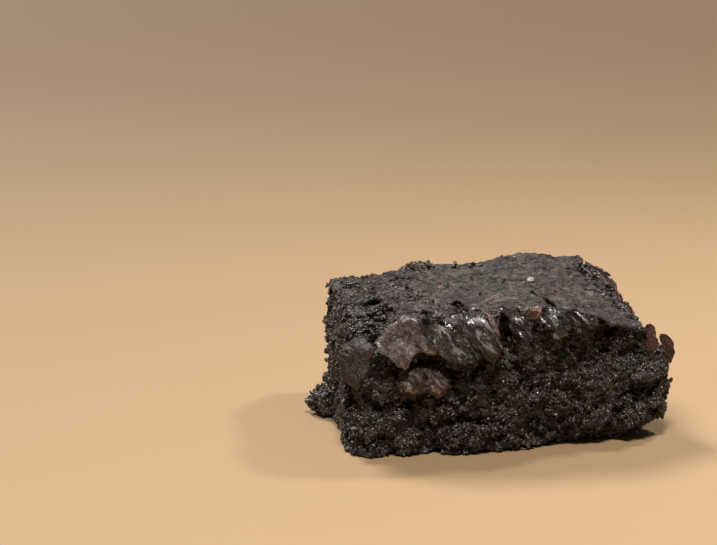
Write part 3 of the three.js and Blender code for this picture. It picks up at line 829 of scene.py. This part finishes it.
def crumb_body():
    """The crumb's mesh, from the solid's field of distances with the relief added."""
    transform = openvdb.createLinearTransform(voxelSize=VOXEL)
    grid = openvdb.FloatGrid.createLevelSetFromPolygons(
        points=solid_points.astype(np.float32),
        triangles=solid_faces.astype(np.uint32),
        transform=transform,
        halfWidth=BAND / VOXEL,
    )
    low, high = grid.evalActiveVoxelBoundingBox()
    size = [h - l + 1 for l, h in zip(low, high)]
    field = np.empty(size, np.float32)
    grid.copyToArray(field, ijk=low)
    i, j, k = np.nonzero(np.abs(field) < BAND - VOXEL)
    points = ((np.stack([i, j, k], 1) + np.array(low)) * VOXEL).astype(np.float32)
    value = field[i, j, k] + crumb_relief(points)
    value = np.maximum(value, 0.02 - points[:, 2])
    field[i, j, k] = value
    worked = openvdb.FloatGrid(BAND)
    worked.copyFromArray(field, ijk=low)
    worked.transform = transform
    made_points, triangles, quads = worked.convertToPolygons(isovalue=0.0, adaptivity=0.0)
    quads = quads.reshape(-1, 4)
    faces = [triangles.reshape(-1, 3), quads[:, [0, 1, 2]], quads[:, [0, 2, 3]]]
    faces = np.concatenate(faces).astype(np.int64)
    return outward(*largest_body(made_points.astype(float), faces))


crumb_points, crumb_faces = crumb_body()
crumb = piece("crumb", crumb_points, crumb_faces, crumb_look, "crumb")
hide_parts("brownie")
decimated(crumb, CRUMB_FACES)


# The crust

def crust_top(x, y, cover):
    """Height of the crust's upper face."""
    p = flat_points(x, y)
    stretched = flat_points(0.55 * x, y)
    broad = 0.42 * noise(p, 6.5, 301) + 0.34 * noise(p, 3.1, 302)
    ridged = 0.48 * (1 - 2 * abs(noise(stretched, 2.6, 303)))
    ridged = ridged + 0.32 * (1 - 2 * abs(noise(stretched, 1.3, 304)))
    fine = 0.16 * noise(p, 0.75, 305)
    bend = flat_points(noise(p, 2.5, 311), noise(p, 2.5, 312))
    first, second = lumps(p + np.float32(0.8) * bend, 6.0, 310)
    valley = 0.5 * smooth(0.09, 0.0, second - first) * smooth(-0.3, 0.3, noise(p, 5.0, 313))
    lifted = 0.55 * smooth(1.6, 0.0, cover) * noise(p, 3.6, 306)
    lip = 0.7 * smooth(1.0, -1.0, inside_top(x, y))
    return top_z(x, y) + 0.25 + broad + ridged + fine + lifted - lip - valley


def moved_to_edge(x, y, cover, kept):
    """The grid's points, with those at the rim of the kept cells moved onto the torn outline."""
    gx, gy = np.gradient(cover, CRUST_STEP)
    steep = np.maximum(gx**2 + gy**2, 0.3)
    cells = np.zeros(x.shape, int)
    for di, dj in itertools.product((0, 1), repeat=2):
        cells[di:x.shape[0] - 1 + di, dj:x.shape[1] - 1 + dj] += kept
    edge = (cells > 0) & (cells < 4)
    reach = 0.7 * CRUST_STEP
    pull = np.where(edge, np.clip(cover, -reach, reach) / steep, 0)
    return x - pull * gx, y - pull * gy


def sheet_faces(kept):
    """Faces of the kept cells above, the same ones below, and the wall around them."""
    shape = (kept.shape[0] + 1, kept.shape[1] + 1)
    count = shape[0] * shape[1]
    number = np.arange(count).reshape(shape)
    a, b, c, d = (number[:-1, :-1], number[1:, :-1], number[1:, 1:], number[:-1, 1:])
    upper = np.concatenate([np.stack([q[kept] for q in t], 1) for t in ((a, b, c), (a, c, d))])
    ends = np.concatenate([upper[:, [0, 1]], upper[:, [1, 2]], upper[:, [2, 0]]])
    codes = ends[:, 0] * count + ends[:, 1]
    alone = ends[~np.isin(codes, ends[:, 1] * count + ends[:, 0])]
    wall = wall_faces(alone[:, 0], alone[:, 1], count)
    return np.concatenate([upper, upper[:, ::-1] + count, wall])


def crust_sheet():
    """The crust as a thin closed sheet, cut to its torn outline."""
    xs = np.arange(FRONT_X[0], FRONT_X[1], CRUST_STEP)
    ys = np.arange(TOP_Y[0], TOP_Y[1], CRUST_STEP)
    x, y = np.meshgrid(xs, ys, indexing="ij")
    cover = crust_cover(x, y)
    inside = cover > 0
    kept = inside[:-1, :-1] & inside[1:, :-1] & inside[:-1, 1:] & inside[1:, 1:]
    x, y = moved_to_edge(x, y, cover, kept)
    top = crust_top(x, y, np.maximum(cover, 0))
    thickness = CRUST_THICKNESS * (0.75 + 0.25 * smooth(0, 0.8, cover))
    sides = [flat_points(x, y, z).reshape(-1, 3) for z in (top, top - thickness)]
    used, renumbered = np.unique(sheet_faces(kept), return_inverse=True)
    return outward(np.concatenate(sides)[used], renumbered.reshape(-1, 3))


piece("crust", *crust_sheet(), crust_look, "crust")


# The pieces of the flakes and the curls, and the first of their noises' seeds

FLAKE_SEED = 400
RIM_SEED = 600
END_SEED = 650


def torn_edge(angle, seed):
    """How far a flake's torn edge reaches beside its outline, over the angle."""
    spot = flat_points(8 * np.cos(angle), 8 * np.sin(angle), 0.0)
    ragged = 1 + 0.10 * noise(spot, 2.2, seed) + 0.07 * noise(spot, 1.0, seed + 1)
    return ragged + 0.06 * noise(spot, 0.4, seed + 7)


def flake_creases(flake, across, p, seed):
    """How far the sheet stands out by its pleats, its broad folds and its fine creases."""
    wave = np.mod(across / PLEAT_PERIOD + 0.5 * noise(p, 3.0, seed + 2), 1)
    folds = flake["pleat"] * (1 - 4 * abs(wave - 0.5))
    broad = np.mod((across - FOLD_CREST) / FOLD_PERIOD + 0.5 + 0.1 * noise(p, 4.0, seed + 9), 1)
    folds = folds + flake.get("fold", 0.0) * (3 - 8 * abs(broad - 0.5))
    bent = p + 0.4 * np.stack([noise(p, 1.6, seed + 20), noise(p, 1.6, seed + 21), 0 * across], -1)
    creases = sum(
        share * flake["crumple"] * (1 - 2.4 * abs(noise(bent, size, seed + 3 + n)))
        for n, (size, share) in enumerate(CREASES)
    )
    return 0.5 * folds + creases


def front_flake(flake, seed):
    """One flake's closed sheet: a disc pulled to its outline and laid on the front."""
    rim, middle, angles, reach = polar_rim(flake["outline"], FLAKE_RIM_POINTS)
    radius, angle = disc_grid(max(8, int(math.ceil(reach.mean() / FLAKE_STEP))))
    limit = np.interp(angle, angles, reach, period=2 * math.pi) * torn_edge(angle, seed)
    x = middle[0] + radius * limit * np.cos(angle)
    z = middle[1] + radius * limit * np.sin(angle)
    tuck = top_z(x, front_y(x, z - 1.5) + 0.8) - 0.25
    z = np.minimum(z, tuck + 0.12 * (z - tuck))
    low, high = rim[:, 1].min(), rim[:, 1].max()
    fall = np.clip((high - z) / (high - low), 0, 1)
    stand = flake["stand_top"] + (flake["stand_foot"] - flake["stand_top"]) * fall**1.4

    lean = math.hypot(1, flake["slant"])
    across = (x + flake["slant"] * z) / lean
    along = (z - flake["slant"] * x) / lean
    p = flat_points(across, along / (1 + 2.5 * flake["pleat"]), float(seed))
    out = stand + flake_creases(flake, across, p, seed) * smooth(0.0, 0.35, fall + 0.15)
    lifted = 0.35 * smooth(0.7, 1.0, radius) * noise(p, 2.8, seed + 6)
    out = out + lifted - flake["sink"] * smooth(0.55, 1.0, radius) ** 1.5
    out = np.clip(out, -0.2 - 0.4 * flake["sink"], MOST_STAND)
    y = front_y(x, z) - out
    thickness = FLAKE_THICKNESS * (1 - 0.3 * radius**6)
    return grid_shell(flat_points(x, y, z), flat_points(x, y + thickness, z))


for look, material in LOOKS.items():
    shapes = [
        front_flake(flake, FLAKE_SEED + 10 * n)
        for n, flake in enumerate(FLAKES.values())
        if flake["look"] == look
    ]
    if shapes:
        piece("flakes_" + look, *joined(shapes), material, "flake")

curls = []
for n, (path, half_widths, across, cupping) in enumerate(RIM_CURLS):
    stood = [(x, y, float(top_z(x, y)) + lift) for x, y, lift in path]
    curls.append(curl(stood, half_widths, across, cupping, RIM_SEED + 2 * n))
for n, (path, half_widths, across, cupping) in enumerate(END_CURLS):
    curls.append(curl(path, half_widths, across, cupping, END_SEED + 2 * n))
piece("curls", *joined(curls), LOOKS["curl"], "flake")


# Grains and loose crumbs

GOLDEN = (1 + 5**0.5) / 2
ICOSAHEDRON = np.array(
    [(-1, GOLDEN, 0), (1, GOLDEN, 0), (-1, -GOLDEN, 0), (1, -GOLDEN, 0),
     (0, -1, GOLDEN), (0, 1, GOLDEN), (0, -1, -GOLDEN), (0, 1, -GOLDEN),
     (GOLDEN, 0, -1), (GOLDEN, 0, 1), (-GOLDEN, 0, -1), (-GOLDEN, 0, 1)]
) / math.hypot(1, GOLDEN)
ICOSAHEDRON_FACES = np.array(
    [(0, 11, 5), (0, 5, 1), (0, 1, 7), (0, 7, 10), (0, 10, 11), (1, 5, 9), (5, 11, 4),
     (11, 10, 2), (10, 7, 6), (7, 1, 8), (3, 9, 4), (3, 4, 2), (3, 2, 6), (3, 6, 8),
     (3, 8, 9), (4, 9, 5), (2, 4, 11), (6, 2, 10), (8, 6, 7), (9, 8, 1)]
)
OCTAHEDRON = np.array([(1, 0, 0), (-1, 0, 0), (0, 1, 0), (0, -1, 0), (0, 0, 1), (0, 0, -1)])
OCTAHEDRON_FACES = np.array(
    [(0, 2, 4), (2, 1, 4), (1, 3, 4), (3, 0, 4), (2, 0, 5), (1, 2, 5), (3, 1, 5), (0, 3, 5)]
)
DENT_RANGE = (0.72, 1.22)
SQUASH_RANGE = (0.6, 1.15)
GRAIN_SHARP_DEGREES = 20.0

# Every draw for the grains and the loose crumbs comes from here, in order
draw = np.random.default_rng(20)


def grain_radii(small, big, count):
    """Random radii, more of them near the small one."""
    return small + (big - small) * draw.uniform(size=count) ** 1.8


def scattered_grains(form, form_faces, middles, radii):
    """Angular grains, each a dented and squashed copy of a form, turned at random."""
    count = len(middles)
    dents = draw.uniform(*DENT_RANGE, (count, len(form), 1))
    squash = draw.uniform(*SQUASH_RANGE, (count, 1, 3))
    turns = draw.normal(size=(count, 4))
    turns /= np.linalg.norm(turns, axis=1, keepdims=True)
    w, a, b, c = turns.T
    turn = np.stack(
        [1 - 2 * (b * b + c * c), 2 * (a * b - c * w), 2 * (a * c + b * w),
         2 * (a * b + c * w), 1 - 2 * (a * a + c * c), 2 * (b * c - a * w),
         2 * (a * c - b * w), 2 * (b * c + a * w), 1 - 2 * (a * a + b * b)], -1
    ).reshape(count, 3, 3)
    shape = form[None] * dents * squash * radii[:, None, None]
    points = np.einsum("nij,nkj->nki", turn, shape) + middles[:, None]
    faces = form_faces[None] + len(form) * np.arange(count)[:, None, None]
    return points.reshape(-1, 3), faces.reshape(-1, 3)


def sampled_surface(count, weigh):
    """Random points on the crumb, with their outward directions, favoured by a weight."""
    a, b, c = (crumb_points[crumb_faces[:, n]] for n in (0, 1, 2))
    normal = np.cross(b - a, c - a)
    area = np.linalg.norm(normal, axis=1)
    normal /= np.maximum(area, 1e-9)[:, None]
    middle = (a + b + c) / 3
    chance = area * weigh(middle)
    pick = draw.choice(len(area), count, p=chance / chance.sum())
    s, t = draw.uniform(size=(2, count, 1))
    over = s + t > 1
    s, t = np.where(over, 1 - s, s), np.where(over, 1 - t, t)
    return a[pick] + s * (b - a)[pick] + t * (c - a)[pick], normal[pick]


def bare_crumb(middle):
    """More grains where the crumb is bare, none under the crust, the flakes or the brownie."""
    x, y, z = middle.T
    below_top = top_z(x, y) - z
    covered = smooth(1.8, 0.6, below_top) * smooth(-0.3, 0.3, crust_cover(x, y))
    flaked = smooth(0.1, 0.8, flake_cover(x, z)) * near_front(x, y, z)
    clumped = 0.35 + smooth(-0.3, 0.5, noise(middle.astype(np.float32), 2.4, 71))
    in_crack = smooth(1.6, 0.5, near_path(middle[:, :2], RIM_CRACK)) * smooth(3.0, 1.5, below_top)
    clumped = clumped * (1 - 0.95 * in_crack)
    return (1 - covered) * (1 - flaked) * clumped * smooth(0.2, 0.5, z) + 1e-9


# Name, form and its faces, how many, smallest and biggest radius, and which of the grain looks
GRAIN_SETS = [
    ("grains_fine", OCTAHEDRON, OCTAHEDRON_FACES, 13000, 0.18, 0.38, 0),
    ("grains_mid", ICOSAHEDRON, ICOSAHEDRON_FACES, 9500, 0.24, 0.48, 1),
    ("grains_coarse", ICOSAHEDRON, ICOSAHEDRON_FACES, 6500, 0.34, 0.74, 2),
]
for name, form, form_faces, count, small_radius, big_radius, tone in GRAIN_SETS:
    at, out = sampled_surface(count, bare_crumb)
    radii = grain_radii(small_radius, big_radius, count)
    middles = at + out * radii[:, None] * 0.25
    middles[:, 2] = np.maximum(middles[:, 2], radii * 1.2)
    grains = scattered_grains(form, form_faces, middles, radii)
    piece(name, *grains, grain_looks[tone], "crumb", GRAIN_SHARP_DEGREES)

# Heaps of crumbs on the top: middle, half widths and height
HEAPS = [
    (-10.4, 16.8, 4.4, 3.2, 2.1), (-6.8, 18.9, 2.4, 1.9, 2.0),
    (-8.0, 22.6, 4.6, 2.0, 1.4), (-16.5, 20.5, 3.4, 2.6, 0.9),
    (-0.6, 16.6, 1.0, 0.8, 2.4), (-2.0, 12.2, 0.9, 0.5, 0.8),
    (3.2, 17.0, 2.2, 1.4, 1.7), (5.3, 17.0, 0.7, 0.7, 1.8),
    (8.3, 18.0, 0.7, 0.6, 1.2), (-25.0, -19.5, 3.2, 2.0, 0.8),
    (31.8, 15.0, 1.2, 5.0, 0.5), (32.5, 6.0, 1.1, 5.0, 0.5),
    (31.9, -3.5, 1.0, 5.0, 0.5), (31.3, -12.0, 0.9, 5.0, 0.4),
    (31.1, -7.6, 1.3, 4.0, 0.8), (31.0, 19.8, 1.3, 2.2, 0.7),
    (30.8, -1.0, 1.5, 2.2, 0.9),
]
# How deep a heap starts under the top, how closely it is filled, and how it spreads outwards
HEAP_BED = 0.6
HEAP_GRAINS_PER_MM3 = 9.0
HEAP_SPREAD = 0.75

# Where crumbs may be strewn
STREWN_X = (-33, 31)
STREWN_Y = (-25, 24)


def heaped(middle_x, middle_y, half_x, half_y, height):
    """Places of the crumbs in a heap, close enough to lie on each other."""
    count = int(HEAP_GRAINS_PER_MM3 * half_x * half_y * (height + HEAP_BED))
    angle = draw.uniform(0, 2 * math.pi, count)
    radius = draw.uniform(size=count) ** HEAP_SPREAD
    x = middle_x + half_x * radius * np.cos(angle)
    y = middle_y + half_y * radius * np.sin(angle)
    rise = (height + HEAP_BED) * (1 - radius**2) * draw.uniform(size=count)
    return flat_points(x, y, top_z(x, y) - HEAP_BED + rise)


def strewn(count):
    """Places of loose crumbs on the crust, most of them on its broken left part."""
    tries = count * 4
    x = draw.uniform(*STREWN_X, tries)
    y = draw.uniform(*STREWN_Y, tries)
    kept = draw.uniform(size=tries) < 0.05 + smooth(-8, -20, x)
    kept &= (inside_top(x, y) > 0.6) & (crust_cover(x, y) > -0.4)
    x, y = x[kept][:count], y[kept][:count]
    return flat_points(x, y, crust_top(x, y, np.maximum(crust_cover(x, y), 0)) + 0.05)


for name, middles, small_radius, big_radius, tone in [
    ("crumbs_heaped", np.concatenate([heaped(*heap) for heap in HEAPS]), 0.3, 0.75, 2),
    ("crumbs_strewn", strewn(1100), 0.14, 0.42, 1),
]:
    radii = grain_radii(small_radius, big_radius, len(middles))
    grains = scattered_grains(ICOSAHEDRON, ICOSAHEDRON_FACES, middles, radii)
    piece(name, *grains, grain_looks[tone], "crumb", GRAIN_SHARP_DEGREES)


# The grain of salt: its place in x and y, half sizes, and how far its middle is above the crust
SALT_PLACE = (10.9, -2.0)
SALT_HALF = (0.95, 0.75, 0.85)
SALT_LIFT = 0.35
SALT_DENTS = (0.8, 1.15)
SALT_SHARP_DEGREES = 10.0
WELL_INSIDE = 9.0
salt_dents = np.random.default_rng(5).uniform(*SALT_DENTS, (12, 1))
salt_height = crust_top(*(np.array([value]) for value in (*SALT_PLACE, WELL_INSIDE)))[0]
salt_middle = [*SALT_PLACE, float(salt_height) + SALT_LIFT]
salt_points = ICOSAHEDRON * np.array(SALT_HALF) * salt_dents + salt_middle
piece("salt", salt_points, ICOSAHEDRON_FACES, salt_look, "salt", SALT_SHARP_DEGREES)


# The floor, in metres
FLOOR_HALF = 9.0
FLOOR_COLOUR = (0.29, 0.185, 0.092, 1)
FLOOR_ROUGHNESS = 0.75
floor_mesh = bpy.data.meshes.new("floor")
floor_mesh.from_pydata(
    [(-FLOOR_HALF, -FLOOR_HALF, 0), (FLOOR_HALF, -FLOOR_HALF, 0), (FLOOR_HALF, FLOOR_HALF, 0),
     (-FLOOR_HALF, FLOOR_HALF, 0)], [], [(0, 1, 2, 3)]
)
floor = bpy.data.objects.new("floor", floor_mesh)
bpy.context.scene.collection.objects.link(floor)
floor_look = Look("floor")
floor_look.shade(Base_Color=FLOOR_COLOUR, Roughness=FLOOR_ROUGHNESS)
floor_mesh.materials.append(floor_look.material)


# Lights

def placed(name, data, place_mm, direction):
    """A light or camera at a place, looking along a direction."""
    made = bpy.data.objects.new(name, data)
    made.location = Vector(place_mm) * MM
    made.rotation_euler = Vector(direction).to_track_quat("-Z", "Y").to_euler()
    bpy.context.scene.collection.objects.link(made)
    return made


def soft_light(name, place_mm, aim_mm, size_mm, power, colour):
    """A square light that looks from its place to its aim."""
    lamp = bpy.data.lights.new(name, "AREA")
    lamp.shape = "RECTANGLE"
    lamp.size = size_mm * MM
    lamp.size_y = size_mm * MM
    lamp.energy = power
    lamp.color = colour
    placed(name, lamp, place_mm, (Vector(aim_mm) - Vector(place_mm)).normalized())


KEY_DIRECTION = (0.30, -0.50, -0.80)
key = bpy.data.lights.new("key", "SUN")
key.energy = 3.5
key.angle = math.radians(18.0)
key.color = (1.0, 0.97, 0.95)
placed("key", key, (0, 0, 0), KEY_DIRECTION)
# Name, place, aim, size, power in watts and colour
soft_light("front", (-120, -420, 800), (0, 0, 15), 170, 9.6, (1.0, 0.97, 0.96))
soft_light("glint", (210, 60, 330), (0, 0, 18), 40, 0.9, (1.0, 0.98, 0.97))

WORLD_COLOUR = (0.80, 0.80, 0.78, 1)
WORLD_STRENGTH = 0.14
world = bpy.data.worlds.new("studio")
bpy.context.scene.world = world
world.use_nodes = True
background = world.node_tree.nodes["Background"]
set_inputs(world.node_tree, background, Color=WORLD_COLOUR, Strength=WORLD_STRENGTH)

bpy.context.scene.view_settings.view_transform = "Standard"


# The camera

CAMERA_PLACE = (-89.6, -325.8, 97.5)
CAMERA_HEADING = math.radians(11.0)
CAMERA_PITCH = math.radians(-11.0)
FOCAL_PIXELS = 1600.0
FRAME_WIDTH = 717
SENSOR_WIDTH = 36.0
lens = bpy.data.cameras.new("camera")
lens.sensor_fit = "HORIZONTAL"
lens.sensor_width = SENSOR_WIDTH
lens.lens = SENSOR_WIDTH * FOCAL_PIXELS / FRAME_WIDTH
lens.clip_start = 0.01
gaze = Vector(
    (
        math.sin(CAMERA_HEADING) * math.cos(CAMERA_PITCH),
        math.cos(CAMERA_HEADING) * math.cos(CAMERA_PITCH),
        math.sin(CAMERA_PITCH),
    )
)
camera = placed("camera", lens, CAMERA_PLACE, gaze)
bpy.context.scene.camera = camera
